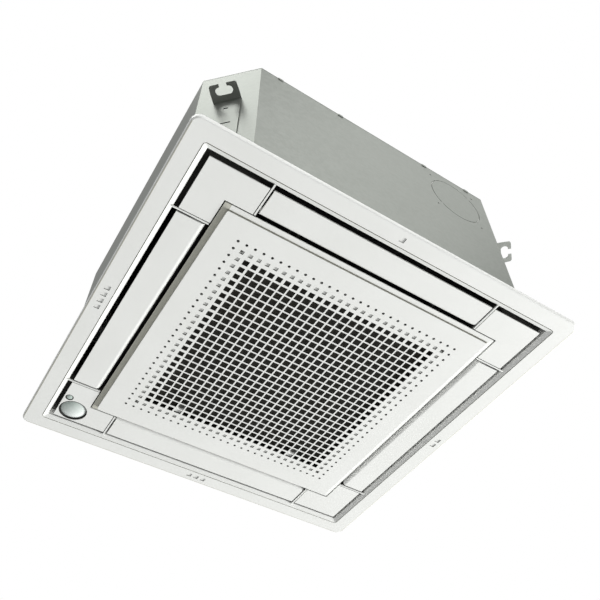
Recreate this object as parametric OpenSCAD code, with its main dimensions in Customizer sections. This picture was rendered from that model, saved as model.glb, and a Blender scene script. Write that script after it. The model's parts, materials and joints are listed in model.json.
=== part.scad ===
// Compact four-way ceiling cassette air conditioner.
// Origin: centre of the ceiling cut-out, in the plane of the ceiling's underside.
// +Z up. The grille is hinged at the front, -Y, and the pipes leave at the rear, +Y.

/* [Panel] */
// Side of the square decoration panel
panel_w = 620; // [612:1:660]
// Depth of the panel, from the face of its border up to the casing
panel_h = 46; // [44:1:60]
// How far the border stands below the ceiling
rim_t = 7; // [6:0.5:8]
// Radius of the panel's outer corners
panel_r = 12; // [8:0.5:20]
// Radius of the border's lower edge
rim_round = 2; // [1:0.25:2.5]
// Width of the flat border
border_w = 26.6; // [25:0.1:27]
// Width of the sloped lip inside the border
lip_run = 6.8; // [6:0.1:7.2]
// Height of the sloped lip
lip_rise = 2.8; // [2:0.1:4]
// Wall of the panel mouldings
skin_t = 2.5; // [2:0.1:3]
// Width of the black gap between the lip and the flaps
outer_gap = 7; // [5:0.1:8]
// How far the flaps and corner covers lie above the border's face
cover_recess = 1; // [0.5:0.25:2]
// Side of the square corner covers
cover_w = 84.4; // [83:0.1:88]
// Thickness of the ribs between covers and flaps
rib_t = 2.2; // [1.8:0.1:3]

/* [Flaps] */
// Thickness of a flap's blade
flap_t = 2.4; // [2:0.1:3]
// Radius of the rolled inner edge of a flap
roll_r = 7; // [6.5:0.25:7.5]
// Gap between a flap's end and the rib
flap_end_gap = 2.9; // [2:0.1:4]
// Diameter of the flap's pivot pins
pivot_d = 5; // [4:0.25:5.5]
// Diameter of a flap motor
flap_motor_d = 22; // [18:0.5:22]
// Length of a flap motor
flap_motor_l = 16; // [12:0.5:19]

/* [Grille] */
// Side of the suction grille at its base
grille_w = 447; // [444:0.5:449]
// How far the grille's face stands below the border's face
grille_proud = 2.5; // [2:0.25:3.5]
// Distance between neighbouring openings
pitch = 13; // [12.6:0.1:13.3]
// Openings from the centre to the ring of medium squares
ring_n = 12; // [10:1:12]
// Side of the large square openings
big_hole = 10.7; // [9.5:0.1:11]
// Side of the medium square openings
mid_hole = 8.6; // [7:0.1:9.2]
// Side of the blind square dimples
dimple_w = 6; // [4:0.1:6.4]
// Diameter of the round openings of the outer ring
dot_d = 4.2; // [3:0.1:5]
// Depth of the lattice bars
lattice_h = 2.6; // [2:0.1:3.4]
// Diameter of the grille's hinge pins
hinge_pin_d = 3; // [2.5:0.1:3.5]

/* [Latches] */
// Columns from the centre to a latch's finger knob
latch_col = 8; // [6:1:9]
// Travel of a latch
latch_travel = 5; // [4:0.25:5.2]
// Width of a finger knob
knob_w = 10.6; // [9:0.1:11]
// Length of a finger knob
knob_l = 14; // [12:0.5:16]

/* [Casing] */
// Side of the square casing
casing_w = 575; // [570:1:580]
// Height of the casing
casing_h = 260; // [255:1:290]
// Leg of the casing's corner chamfers
chamfer_leg = 66; // [62:1:70]
// Thickness of the casing's sheet steel
sheet_t = 1; // [0.8:0.1:1.2]
// Thickness of the foam liner
liner_t = 7; // [5:0.5:8]
// Diameter of the fresh-air knock-out
knockout_d = 100; // [80:1:110]
// Distance between the pilot holes round the knock-out
pilot_pitch = 89.4; // [85:0.1:95]

/* [Hangers] */
// Distance between hanging rods, both ways
hang_pitch = 533; // [530:1:536]
// Height of the hanger tabs above the ceiling
hang_z = 198; // [170:1:210]
// Width of a hanger
hanger_w = 42; // [38:0.5:46]
// Width of the rod slot, for M8 to M10 rods
rod_slot_w = 12; // [11:0.25:13]
// Length of the rod slot
rod_slot_l = 26; // [22:0.5:28]
// Thickness of the hanger plate
hanger_t = 2; // [1.6:0.1:2.5]

/* [Fan] */
// Outer diameter of the turbo fan
fan_d = 376; // [366:1:380]
// Height of the turbo fan
fan_h = 161; // [150:1:163]
// Diameter of the fan's eye
eye_d = 312; // [300:1:316]
// Number of fan blades
blade_n = 7; // [5:1:9]
// Thickness of a blade
blade_t = 3.2; // [2.4:0.1:4]
// Diameter of the fan motor
motor_d = 132; // [110:1:136]
// Diameter of the motor shaft
shaft_d = 12; // [10:0.5:14]

/* [Coil and drain] */
// Side of the coil ring, outside
coil_w = 492; // [488:1:494]
// Depth of the coil through its rows
coil_t = 26; // [24:0.5:27]
// Height of the finned coil
coil_h = 208; // [196:1:210]
// Rows of tubes up the coil
tube_rows = 9; // [7:2:9]
// Outer diameter of the coil tubes
tube_d = 7; // [6:0.25:8]
// Height of the drain pan
pan_h = 40; // [36:0.5:42]
// Outer diameter of the drain socket
drain_d = 26; // [25:0.5:27]
// Inner diameter of the drain socket
drain_bore_d = 20; // [18:0.5:21]
// Outer diameter of the liquid pipe
liquid_d = 6.35; // [6:0.05:7]
// Outer diameter of the gas pipe
gas_d = 12.7; // [11:0.1:13]

/* [Hidden] */
$fn = 64;

// Overrun of a cut past the surface that it opens, and of a piece into the one that it joins
over = 1;
// Clearance between pieces that seat on each other
seat = 0.3;
// Radial clearance of turning pins, shafts and bolts in their bores
run_gap = 0.06;
// Radial clearance of pins that are pressed home
press_gap = 0.02;

white_abs = [0.90, 0.90, 0.88];
steel = [0.68, 0.70, 0.67];
foam = [0.93, 0.93, 0.90];
black = [0.12, 0.12, 0.12];
copper = [0.78, 0.46, 0.28];
brass = [0.80, 0.66, 0.30];
grey_abs = [0.45, 0.46, 0.46];

// Heights of the panel, measured from the ceiling
z_face = -rim_t;
z_cover = z_face + cover_recess;
z_grille = z_face - grille_proud;
z_top = z_face + panel_h;
seal_t = 3;
flange_t = 2.5;
z_flange = z_top - seal_t - flange_t;
z_web = 8;

// Half widths of the panel, measured outwards from its centre
u_rim = panel_w/2;
u_recess = u_rim - border_w;
u_duct = u_recess - lip_run;
u_out = u_duct - outer_gap;
grille_half = grille_w/2;
grille_gap = 1.3;
wall_t = 2;
wall_low = 6.5;
u_wall = grille_half + grille_gap;
flap_gap = 1.2;
u_in = u_wall + wall_t + flap_gap;
groove_w = 1.4;
rib_in = u_out - cover_w - groove_w - rib_t;
rib_out = rib_in + rib_t;
flap_half = rib_in - flap_end_gap;
rim_wall = 4;
groove_d = 1;
groove_h = 1.8;
seal_w = 9;

// Outlet marks on the border: one to four small squares
mark_w = 8;
mark_pitch = 12.9;
mark_d = 1.2;
mark_u = u_recess + border_w/2 - 0.7*groove_w;
mark_shift = [0, 2.3, 1.5, -1.5];

// Flap pivot, measured outwards and up
pivot_u = u_in + roll_r;
pivot_z = z_cover + roll_r;
pivot_bore = pivot_d/2 + run_gap;
drive_len = 6;
idle_len = 2;
hub_r = 4.3;
cheek_t = 2.4;
cheek_r = 5;
// 1 where a flap's motor sits at the other end
flap_mirror = [0, 0, 1, 1];

// Flap motor: its body lies outside and above its off-centre shaft
motor_side = 4;
motor_up = 6.9;
shaft_boss_r = 4.2;
shaft_boss_l = 8;
lug_t = 1.2;
lug_reach = 16;
lug_r = 3.5;
lug_hole_r = 1.6;
motor_room = 1.5;

// Panel bolts
bolt_at = 240;
bolt_r = 2.5;
bolt_head_r = 4.6;
bolt_head_h = 3.6;
bolt_out = 3;
boss_r = 6;
gusset_t = 2.2;

// Corner covers
cover_in = u_out - cover_w;
cover_notch = grille_half + wall_t;
leg_w = 8;
leg_t = 2;
skirt_t = 1.2;
skirt_in = 0.4;

// Sensor set of the rear left cover
dome_at = 246;
dome_r = 19.8;
dome_hole_r = 21;
dome_rise = 5;
dome_proud = 2.5;
bezel_t = 0.8;
bezel_h = 5;
receiver_x = -261.4;
receiver_y = 219.7;
receiver_r = 4.7;
receiver_hole_r = 5.7;
receiver_rise = 1.2;
receiver_proud = 0.6;

// Suction grille
grille_t = 2.5;
step_in = 7.6;
base_rise = 2;
z_base = z_cover + base_rise;
flange_edge = 1.6;
flange_root = 2.3;
face_half = grille_half - step_in;
face_round = 0.5;
grille_r = 2;
n_dimple = ring_n + 1;
n_dot = ring_n + 2;
dimple_d = 2;
lattice_half = ring_n*pitch + mid_hole/2;
lattice_edge = lattice_half + pitch - mid_hole;
big_half = (ring_n - 1)*pitch + big_hole/2;
latch_x = latch_col*pitch;
knob_gap = 0.4;
slot_y = (ring_n - 1)*pitch - big_hole/2;

// Grille hinge
hinge_in = 8;
hinge_up = 8;
hinge_y = hinge_in - grille_half;
hinge_z = z_grille + hinge_up;
hinge_r = 3.1;
hinge_x = 120;
ear_w = 4;
knuckle_w = 8;
knuckle_gap = 0.4;
ear_room = 0.6;
z_arm = 8.4;
arm_t = 4;

// Latch
slide_t = 2;
slide_w = 13;
z_slide = z_grille + max(lattice_h, grille_t) + seat;
tongue_w = 12;
tongue_t = 2.5;
z_tongue = 0;
tongue_back = 2.6;
tongue_tip = u_wall - tongue_back;
tongue_l = 18;
keeper_gap = 0.4;
keeper_h = 4.8;
keeper_t = 1.5;
dish_r = 15;
dish_d = 2.2;
dish_off = 1.5;
guide_y = 186;
guide_l = 10;
guide_t = 1.6;

// Filter
filter_half = 176;
filter_gap = 0.8;
z_filter = z_slide + slide_t + filter_gap;
filter_h = 5.2;
filter_rim = 9;
filter_bar = 2;
filter_cells = 6;
mesh_t = 0.6;
post_w = 8;

// Casing
casing_half = casing_w/2;
z_casing = z_top;
z_roof = z_casing + casing_h;
flange_in = 10;
bolt_tab = 26;
knock_x = 150;
knock_down = 67;
knock_z = z_roof - knock_down;
knock_gap = 1.2;
knock_web = 4;
pilot_r = 1.6;
tab_at_shares = [-0.325, -0.13, 0.165, 0.325];
tab_l = 9;
tab_h = 5;
press_h = 2.5;
press_w = 14;
press_in = 106;
press_back = 35;

// Liner
liner_half = casing_half - sheet_t - seat;
z_liner = z_casing + sheet_t + seat;
z_liner_top = z_roof - sheet_t - seat;
liner_roof = 6;

// Hangers
hang_n = hang_pitch/sqrt(2);
plane_n = (casing_w - chamfer_leg)/sqrt(2);
hanger_h = 120;
tab_reach = 28;
tab_straight = 15;
tab_corner = 5;
mouth_w = 11.5;
oval_down = 27;
oval_l = 7;
oval_w = 3.2;
key_down = 76;
key_l = 20;
key_w = 3;

// Drain pan
pan_half = liner_half - liner_t - seat;
z_pan = z_casing + sheet_t + seat;
pan_hole_r = 200;
trough_room = 3.5;
trough_in = coil_w/2 - coil_t - trough_room;
trough_out = coil_w/2 + trough_room;
trough_d = 8;
slot_wall = 2.5;
slot_in = trough_out + slot_wall;
slot_out = pan_half - slot_wall - over;
slot_len = 350;
sump_in = 142;
sump_out = 232;
sump_floor = 11;
pocket_h = 10;
inner_seal = 1.5;

// Coil, open at the rear left corner
coil_half = coil_w/2;
coil_r = 70;
z_coil = z_pan + pan_h - trough_d + seat;
coil_open = 138;
end_sheet_t = 1.5;
row_step = coil_h/(tube_rows + 1);
row_u = coil_half - coil_t/2;

// Bell mouth
bell_half = 212;
bell_t = 2.2;
bell_r = 40;
eye_gap = 6;
eye_lap = 5;
throat_r = eye_d/2 - eye_gap;
flare_r = throat_r + bell_r;
z_bell = z_pan - seat - bell_t;
z_throat = z_bell + bell_r + eye_lap;

// Turbo fan
fan_r = fan_d/2;
eye_r = eye_d/2;
z_fan = z_throat - eye_lap;
z_back = z_fan + fan_h;
shroud_r = 34;
shroud_t = 2.2;
shroud_lip = 8;
cup_room = 12;
cup_r = motor_d/2 + cup_room;
cup_d = 55;
z_cup = z_back - cup_d;
hub_boss_r = 16;
hub_boss_l = 24;
blade_in = 118;
blade_at = 118;
blade_r = 92;
blade_tip = 1;
nut_r = 11;
nut_h = 8;
shaft_out = 6;

// Fan motor
motor_r = motor_d/2;
motor_room_z = 8;
z_motor = z_cup + motor_room_z;
plate_t = 3;
mount_l = 11;
z_plate = z_roof - sheet_t - mount_l - press_gap;
mount_r = 9;
mount_at = 82;
mount_hole_r = 96;
fin_t = 2;
fin_out = 4;
fin_up = 16;
shaft_r = shaft_d/2;
shaft_in = 22;

// Drain pump at the rear left corner
pump_at = 172;
pump_r = 25;
pump_base_r = 30;
pump_base_t = 4;
pump_up = 55;
z_pump = z_pan + pump_up;
pump_body_h = 52;
intake_r = 13;
intake_t = 2;
intake_l = 36;
axle_r = 2;
axle_in = 10;
vane_r = 9;
vane_t = 1.6;
vane_n = 4;
vane_low = 3;
vane_top = 8;
leg_r = 3;
spigot_r = 8;
spigot_up = 16;
spigot_l = 16;
z_spigot = z_pump + spigot_up;

// Float switch
float_x = 40;
float_y = 7;
float_arm = 14;
float_r = 11;
float_h = 12;
float_play = 0.5;
stem_r = 3;
stem_l = 32;
stop_r = 5.4;
stop_t = 2;

// Drain line
drain_x = -pump_at;
drain_z = 226;
drain_out = 30;
collar_r = 17;
collar_t = 2;
hose_t = 2;
hose_r = spigot_r + hose_t + press_gap;
hose_y = 247;
hose_bend = 16;
hose_lap = 12;
nipple_l = 5.8;

// Refrigerant pipes at the rear wall
gas_x = -206;
gas_z = 165;
liquid_x = -190;
liquid_z = 120;
pipe_gap = 1.3;
joint_f = 1.3;
header_r = 8;
header_room = 4;
header_y = coil_open + end_sheet_t + row_step/2 + tube_d/2 + header_room + header_r;
header_end = 15;
union_at = 10;
hex_l = 10;
thread_l = 12;
cone_l = 3;
gas_hex_w = 26;
gas_thread_d = 19.05;
liquid_hex_w = 17;
liquid_thread_d = 11.11;
pipe_wall = 0.8;
pipe_plate_t = 1.5;
pipe_plate_x = [-221, -175];
pipe_plate_z = [98, 188];

// Control box under the bell mouth
box_l = 320;
box_d = 46;
box_h = 27;
box_t = 1.2;
box_back = 17;
box_y = box_back - u_wall;
z_box = z_bell - seat - box_h;
lid_lip = 5;
cable_hole_r = 6;
board_t = 1.6;
board_in = 10;
board_side = 4;
board_gap = 12;
standoff_r = 2;
standoff_h = 6;
standoff_in = 6;
part_w = 18;
part_h = 7;
part_in = 8;
part_pitch = 38;
block_l = 64;
block_in = 14;
block_side = 8;
board_l = box_l - board_in - board_gap - block_l - block_in;
block_h = 14;
pole_n = 6;
pole_pitch = 10;
pole_r = 3;
pole_d = 7;
entry_w = 8;
entry_d = 7;

function arc(cx, cz, r, a0, a1, n) =
    [for (i = [0:n]) let(a = a0 + (a1 - a0)*i/n) [cx + r*cos(a), cz + r*sin(a)]];

// Points of a square of half width h with rounded corners
function round_sq(h, r, n = 6) = concat(
    arc(h - r, h - r, r, 0, 90, n), arc(r - h, h - r, r, 90, 180, n),
    arc(r - h, r - h, r, 180, 270, n), arc(h - r, r - h, r, 270, 360, n));

// Points of a square of half width h, its corners cut by legs of length k
function oct(h, k) = [[h - k, -h], [h, k - h], [h, h - k], [h - k, h],
    [k - h, h], [-h, h - k], [-h, k - h], [k - h, -h]];

// Chamfer leg of the casing's outline moved inwards by d
function inset_leg(d) = chamfer_leg - (2 - sqrt(2))*d;

module slab(h, r, z0, z1) {
    translate([0, 0, z0]) linear_extrude(z1 - z0) polygon(round_sq(h, r));
}

module square_slab(h, z0, z1) {
    translate([-h, -h, z0]) cube([2*h, 2*h, z1 - z0]);
}

// The casing's outline moved inwards by d
module oct_slab(d, z0, z1) {
    translate([0, 0, z0]) linear_extrude(z1 - z0) polygon(oct(casing_half - d, inset_leg(d)));
}

module box(x0, x1, y0, y1, z0, z1) {
    translate([x0, y0, z0]) cube([x1 - x0, y1 - y0, z1 - z0]);
}

module rod_x(r, x0, x1, y, z) {
    translate([x0, y, z]) rotate([0, 90, 0]) cylinder(r = r, h = x1 - x0);
}

module rod_y(r, y0, y1, x, z) {
    translate([x, y0, z]) rotate([-90, 0, 0]) cylinder(r = r, h = y1 - y0);
}

// A section drawn as [outwards, up], run along the front side from x0 to x1
module along_front(x0, x1) {
    translate([x0, 0, 0]) rotate([90, 0, 90]) linear_extrude(x1 - x0) mirror([1, 0]) children();
}

module four_sides() {
    for (s = [0:3]) rotate(90*s) children();
}

module at_bolts() {
    four_sides() translate([bolt_at, -bolt_at, 0]) children();
}

// Panel

// The border: a slab with rounded corners, its lower edge rounded in two steps
module border_solid() {
    step = 0.3*rim_round;
    leaf = 0.01*rim_round;
    slab(u_rim, panel_r, z_face + rim_round, 0);
    hull() {
        slab(u_rim, panel_r, z_face + rim_round - leaf, z_face + rim_round);
        slab(u_rim - step, panel_r - step, z_face + step, z_face + step + leaf);
    }
    hull() {
        slab(u_rim - step, panel_r - step, z_face + step, z_face + step + leaf);
        slab(u_rim - rim_round, panel_r - rim_round, z_face, z_face + leaf);
    }
}

// The opening inside the border, with its sloped lip and the groove round it
module lip_cut() {
    hull() {
        slab(u_recess, panel_r/3, z_face - over, z_face);
        slab(u_duct, rim_round/2, z_face + lip_rise, z_face + lip_rise + over);
    }
    slab(u_duct, rim_round/2, z_face + lip_rise, over);
    difference() {
        slab(u_recess + groove_d, panel_r/3 + groove_d, z_face - over, z_face + groove_h);
        slab(u_recess, panel_r/3, z_face - 2*over, z_face + 2*groove_h);
    }
}

// Hollow in the border's upper side, between its outer wall and the lip
module border_hollow() {
    difference() {
        slab(u_rim - rim_wall, panel_r - rim_wall, z_face + skin_t, over);
        slab(u_recess + skin_t, panel_r/3, z_face, 2*over);
    }
}

module outlet_marks() {
    for (s = [0:3], i = [0:s]) rotate(90*s)
        translate([(i - s/2)*mark_pitch + mark_shift[s] - mark_w/2, -mark_u - mark_w/2, z_face - over])
            cube([mark_w, mark_w, over + mark_d]);
}

module rib() {
    box(rib_in, rib_out, -u_duct - over, -u_wall - wall_t/2, z_cover, z_flange + flange_t/2);
}

// Room for a flap motor in the corner web
module motor_cut() {
    box(rib_out, rib_out + flap_motor_l + motor_room, -pivot_u - motor_side - lug_reach - lug_r - motor_room,
        -u_wall - wall_t, z_web - over, z_web + skin_t + over);
}

// The inner wall ends higher along each flap, behind the flap's rolled edge
module wall_window() {
    box(gusset_t - rib_in, rib_in - gusset_t, -u_wall - wall_t - over, -u_wall + over, z_cover, wall_low);
}

// Brackets on the inner wall that carry the grille's hinge pins
module hinge_ears() {
    for (x = [-hinge_x, hinge_x], s = [-1, 1])
        translate([x + s*(knuckle_w/2 + knuckle_gap + ear_w/2) - ear_w/2, 0, 0]) difference() {
            union() {
                box(0, ear_w, hinge_y, hinge_y + 2*hinge_r, hinge_z, z_arm + arm_t);
                box(0, ear_w, -u_wall - wall_t/2, hinge_y + 2*hinge_r, z_arm, z_arm + arm_t);
                rod_x(hinge_r, 0, ear_w, hinge_y, hinge_z);
            }
            rod_x(hinge_pin_d/2 + press_gap, -over, ear_w + over, hinge_y, hinge_z);
        }
}

module panel_frame() color(white_abs) {
    difference() {
        union() {
            difference() {
                border_solid();
                lip_cut();
                border_hollow();
            }
            difference() {
                square_slab(u_duct + skin_t, -skin_t, z_flange + flange_t);
                square_slab(u_duct, -2*skin_t, z_top);
            }
            difference() {
                oct_slab(sheet_t, z_flange, z_flange + flange_t);
                square_slab(u_duct, z_flange - over, z_top);
            }
            difference() {
                square_slab(u_wall + wall_t, z_cover + skin_t + seat, z_flange + flange_t);
                square_slab(u_wall, z_face, z_top);
            }
            four_sides() {
                rib();
                mirror([1, 0, 0]) rib();
                box(rib_in + rib_t/2, u_duct + skin_t/2, -u_duct - skin_t/2, -rib_in - rib_t/2,
                    z_web, z_web + skin_t);
                rotate(-45) box(sqrt(2)*(u_wall + wall_t/2), sqrt(2)*bolt_at, -gusset_t/2, gusset_t/2,
                    z_web, z_flange + flange_t);
            }
            at_bolts() translate([0, 0, z_web]) cylinder(r = boss_r, h = z_casing - z_web);
        }
        at_bolts() translate([0, 0, z_web - over]) cylinder(r = bolt_r + run_gap, h = z_top);
        four_sides() rod_x(pivot_bore, -rib_out - over, rib_out + over, -pivot_u, pivot_z);
        for (s = [0:3]) rotate(90*s) mirror([flap_mirror[s], 0, 0]) motor_cut();
        four_sides() wall_window();
        outlet_marks();
    }
    hinge_ears();
}

// Keepers under the rear inner wall, a slotted plate for each latch's tongue
module latch_keepers() color(steel) {
    out = tongue_w/2 + keeper_gap;
    for (x = [-latch_x, latch_x]) difference() {
        box(x - out - keeper_t, x + out + keeper_t, u_wall, u_wall + wall_t,
            z_tongue - keeper_gap - keeper_t, wall_low - press_gap);
        box(x - out, x + out, u_wall - over, u_wall + wall_t + over,
            z_tongue - keeper_gap, z_tongue - keeper_gap + keeper_h);
    }
}

module hinge_pins() color(steel) {
    reach = knuckle_w/2 + knuckle_gap + ear_w;
    for (x = [-hinge_x, hinge_x]) rod_x(hinge_pin_d/2, x - reach, x + reach, hinge_y, hinge_z);
}

// Foam strip in the border's hollow, pressed against the ceiling
module rim_seal() color(black) {
    difference() {
        slab(u_rim - rim_wall - seat, panel_r - rim_wall, z_face + skin_t, 0);
        slab(u_rim - rim_wall - seat - seal_w, panel_r/3, z_face, over);
    }
}

// Foam strips that close the panel's ducts against the casing and the drain pan
module duct_seal() color(black) {
    difference() {
        oct_slab(sheet_t, z_top - seal_t, z_top);
        square_slab(u_duct, z_flange, z_top + over);
    }
    outer = u_wall + wall_t + inner_seal;
    inner = u_wall - inner_seal;
    for (m = [0, 1]) {
        mirror([0, m, 0]) box(-outer, outer, -outer, -inner, z_flange + flange_t, z_pan - seat);
        mirror([m, 0, 0]) box(-outer, -inner, seat - inner, inner - seat, z_flange + flange_t, z_pan - seat);
    }
}

module panel_screws() color(steel) {
    at_bolts() {
        translate([0, 0, z_web - bolt_head_h]) cylinder(r = bolt_head_r, h = bolt_head_h);
        translate([0, 0, z_web - over]) cylinder(r = bolt_r, h = z_casing + bolt_out - z_web + over);
    }
}

// Corner covers

// A cover for the front right corner: an L-shaped face, two skirts and, where there is room, a leg
module corner_cover(leg = true) {
    far = u_out - skirt_in;
    near = rib_out + flap_motor_l;
    low = z_cover + skin_t/2;
    high = z_web - seat;
    translate([0, 0, z_cover]) linear_extrude(skin_t)
        polygon([[cover_in, -u_out], [u_out, -u_out], [u_out, -cover_in], [cover_notch, -cover_in],
            [cover_notch, -cover_notch], [cover_in, -cover_notch]]);
    box(far - skirt_t, far, -far, -near, low, high);
    box(near, far, -far, -far + skirt_t, low, high);
    if (leg) translate([cover_notch, -cover_notch, 0])
        box(leg_t, leg_t + leg_w, -2*leg_t, -leg_t, low, high);
}

module corner_cover_front_left() color(white_abs) rotate(-90) corner_cover();
module corner_cover_front_right() color(white_abs) corner_cover();
module corner_cover_rear_right() color(white_abs) rotate(90) corner_cover();

module at_dome() {
    translate([-dome_at, dome_at, 0]) children();
}

module at_receiver() {
    translate([receiver_x, receiver_y, 0]) children();
}

module corner_cover_rear_left() color(white_abs) difference() {
    rotate(180) corner_cover(leg = false);
    translate([0, 0, z_cover - over]) {
        at_dome() cylinder(r = dome_hole_r, h = z_web - z_cover);
        at_receiver() cylinder(r = receiver_hole_r, h = skin_t + 2*over);
    }
}

// Black cups behind the dome and the small lens
module cup(r) {
    difference() {
        translate([0, 0, z_cover + skin_t + seat]) cylinder(r = r + bezel_t, h = bezel_h);
        translate([0, 0, z_cover]) cylinder(r = r, h = skin_t + seat + bezel_h - bezel_t);
    }
}

module sensor_bezel() color(black) {
    at_dome() cup(dome_hole_r);
    at_receiver() cup(receiver_hole_r);
}

// A spherical cap of radius r that bulges down from a short collar
module lens(r, rise, z0, z1) {
    ball = (r*r + rise*rise)/(2*rise);
    intersection() {
        translate([0, 0, z0 + ball]) sphere(r = ball, $fn = 96);
        translate([0, 0, z0]) cylinder(r = r, h = z1 - z0);
    }
}

module sensor_dome() color([0.80, 0.84, 0.82])
    at_dome() lens(dome_r, dome_rise, z_cover - dome_proud, z_cover + skin_t + seat + bezel_h - bezel_t);

module signal_receiver() color([0.88, 0.90, 0.90]) at_receiver()
    lens(receiver_r, receiver_rise, z_cover - receiver_proud, z_cover + skin_t + seat + bezel_h - bezel_t);

// Flaps

module flap_section() {
    polygon(concat(arc(pivot_u, pivot_z, roll_r, 180, 270, 10), [[u_out, z_cover], [u_out, z_cover + flap_t]],
        arc(pivot_u, pivot_z, roll_r - flap_t, 270, 180, 10)));
}

module cheek_section() {
    polygon(concat(arc(pivot_u, pivot_z, roll_r - flap_t/2, 180, 270, 8),
        [[pivot_u + 2*roll_r, z_cover + flap_t/2], [pivot_u + 2*roll_r, z_cover + flap_t]],
        arc(pivot_u, pivot_z, cheek_r, 60, 180, 8)));
}

// A front flap, its rounded inner corner and its driven end at the right
module flap() {
    round_x = flap_half - roll_r;
    intersection() {
        along_front(-flap_half, flap_half) flap_section();
        translate([0, 0, z_cover - over]) linear_extrude(4*roll_r)
            polygon(concat([[-flap_half - over, -u_in + over], [-flap_half - over, -u_out - over],
                [flap_half, -u_out - over]], arc(round_x, -u_in - roll_r, roll_r, 0, 90, 8),
                [[round_x - over, -u_in + over]]));
    }
    along_front(-flap_half, -flap_half + cheek_t) cheek_section();
    along_front(round_x - cheek_t, round_x) cheek_section();
    rod_x(hub_r, round_x - over, flap_half, -pivot_u, pivot_z);
    rod_x(pivot_d/2, -rib_out - idle_len, -flap_half + over, -pivot_u, pivot_z);
    rod_x(pivot_d/2, flap_half - over, rib_out + drive_len, -pivot_u, pivot_z);
}

module placed_flap(s) {
    rotate(90*s) mirror([flap_mirror[s], 0, 0]) flap();
}

module flap_front() color(white_abs) placed_flap(0);
module flap_right() color(white_abs) placed_flap(1);
module flap_rear() color(white_abs) placed_flap(2);
module flap_left() color(white_abs) placed_flap(3);

// A small geared stepping motor, its shaft bore on the flap's pivot line
module flap_motor() {
    y0 = -pivot_u - motor_side;
    z0 = pivot_z + motor_up;
    difference() {
        union() {
            rod_x(flap_motor_d/2, rib_out, rib_out + flap_motor_l, y0, z0);
            rod_x(shaft_boss_r, rib_out, rib_out + shaft_boss_l, -pivot_u, pivot_z);
            rod_x(lug_r, rib_out, rib_out + lug_t, y0 - lug_reach, z0);
            box(rib_out, rib_out + lug_t, y0 - lug_reach, y0, z0 - lug_r, z0 + lug_r);
        }
        rod_x(pivot_bore, rib_out - over, rib_out + drive_len + over, -pivot_u, pivot_z);
        rod_x(lug_hole_r, rib_out - over, rib_out + lug_t + over, y0 - lug_reach, z0);
    }
}

module flap_motors() color(grey_abs) {
    for (s = [0:3]) rotate(90*s) mirror([flap_mirror[s], 0, 0]) flap_motor();
}

// Suction grille

// The grille's outer form: a raised face that steps down to a gently sloped flange
module grille_form() {
    hull() {
        slab(grille_half, grille_r, z_base - flange_edge, z_base);
        slab(face_half, grille_r, z_base - flange_root, z_base);
    }
    hull() {
        slab(face_half, grille_r, z_grille + face_round, z_base - flange_edge);
        slab(face_half - face_round, grille_r, z_grille, z_base - flange_edge);
    }
}

// Room in the flange for the panel's hinge ears
module ear_cuts() {
    for (x = [-hinge_x, hinge_x], s = [-1, 1])
        translate([x + s*(knuckle_w/2 + knuckle_gap + ear_w/2) - ear_w/2, 0, 0])
            box(-knuckle_gap/2, ear_w + ear_room, hinge_y - hinge_r - ear_room, hinge_y + hinge_r + ear_room,
                hinge_z - hinge_r - ear_room, z_base + over);
}

module knob_slots() {
    for (s = [-1, 1]) translate([s*latch_x - knob_w/2 - knob_gap, slot_y])
        square([knob_w + 2*knob_gap, lattice_half - slot_y]);
}

// Knuckles of the hinge: each a barrel on a short block
module knuckles() {
    for (x = [-hinge_x, hinge_x]) difference() {
        union() {
            rod_x(hinge_r, x - knuckle_w/2, x + knuckle_w/2, hinge_y, hinge_z);
            box(x - knuckle_w/2, x + knuckle_w/2, hinge_y - hinge_r, hinge_y + hinge_r,
                z_base - flange_edge/2, hinge_z);
        }
        rod_x(hinge_pin_d/2 + run_gap, x - knuckle_w, x + knuckle_w, hinge_y, hinge_z);
    }
}

// A pad and two hooked rails that hold a latch's slide
module latch_guide(x) {
    in = slide_w/2 + keeper_gap;
    z_hook = z_slide + slide_t + seat;
    z_root = z_grille + grille_t/2;
    for (m = [0, 1]) translate([x, 0, 0]) mirror([m, 0, 0]) {
        box(in, in + guide_t, guide_y, guide_y + guide_l, z_root, z_hook + guide_t);
        box(in - guide_t, in + guide_t, guide_y, guide_y + guide_l, z_hook, z_hook + guide_t);
    }
    box(x - in - guide_t/2, x + in + guide_t/2, guide_y, guide_y + guide_l, z_root, z_slide - seat);
}

module suction_grille() color(white_abs) {
    difference() {
        grille_form();
        slab(face_half - grille_t, grille_r, z_grille + grille_t, z_base + over);
        ear_cuts();
        square_slab(lattice_edge, z_grille - over, z_base);
        four_sides() {
            for (k = [1 - n_dot:n_dot]) translate([k*pitch, n_dot*pitch, z_grille - over])
                cylinder(d = dot_d, h = grille_t + 2*over, $fn = 20);
            for (k = [1 - n_dimple:n_dimple])
                translate([k*pitch - dimple_w/2, n_dimple*pitch - dimple_w/2, z_grille - over])
                    cube([dimple_w, dimple_w, dimple_d + over]);
        }
    }
    knuckles();
    for (s = [-1, 1]) latch_guide(s*latch_x);
    four_sides() translate([filter_half - post_w, -filter_half, z_grille + grille_t/2])
        cube([post_w, post_w, z_filter - z_grille - grille_t/2]);
}

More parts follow.
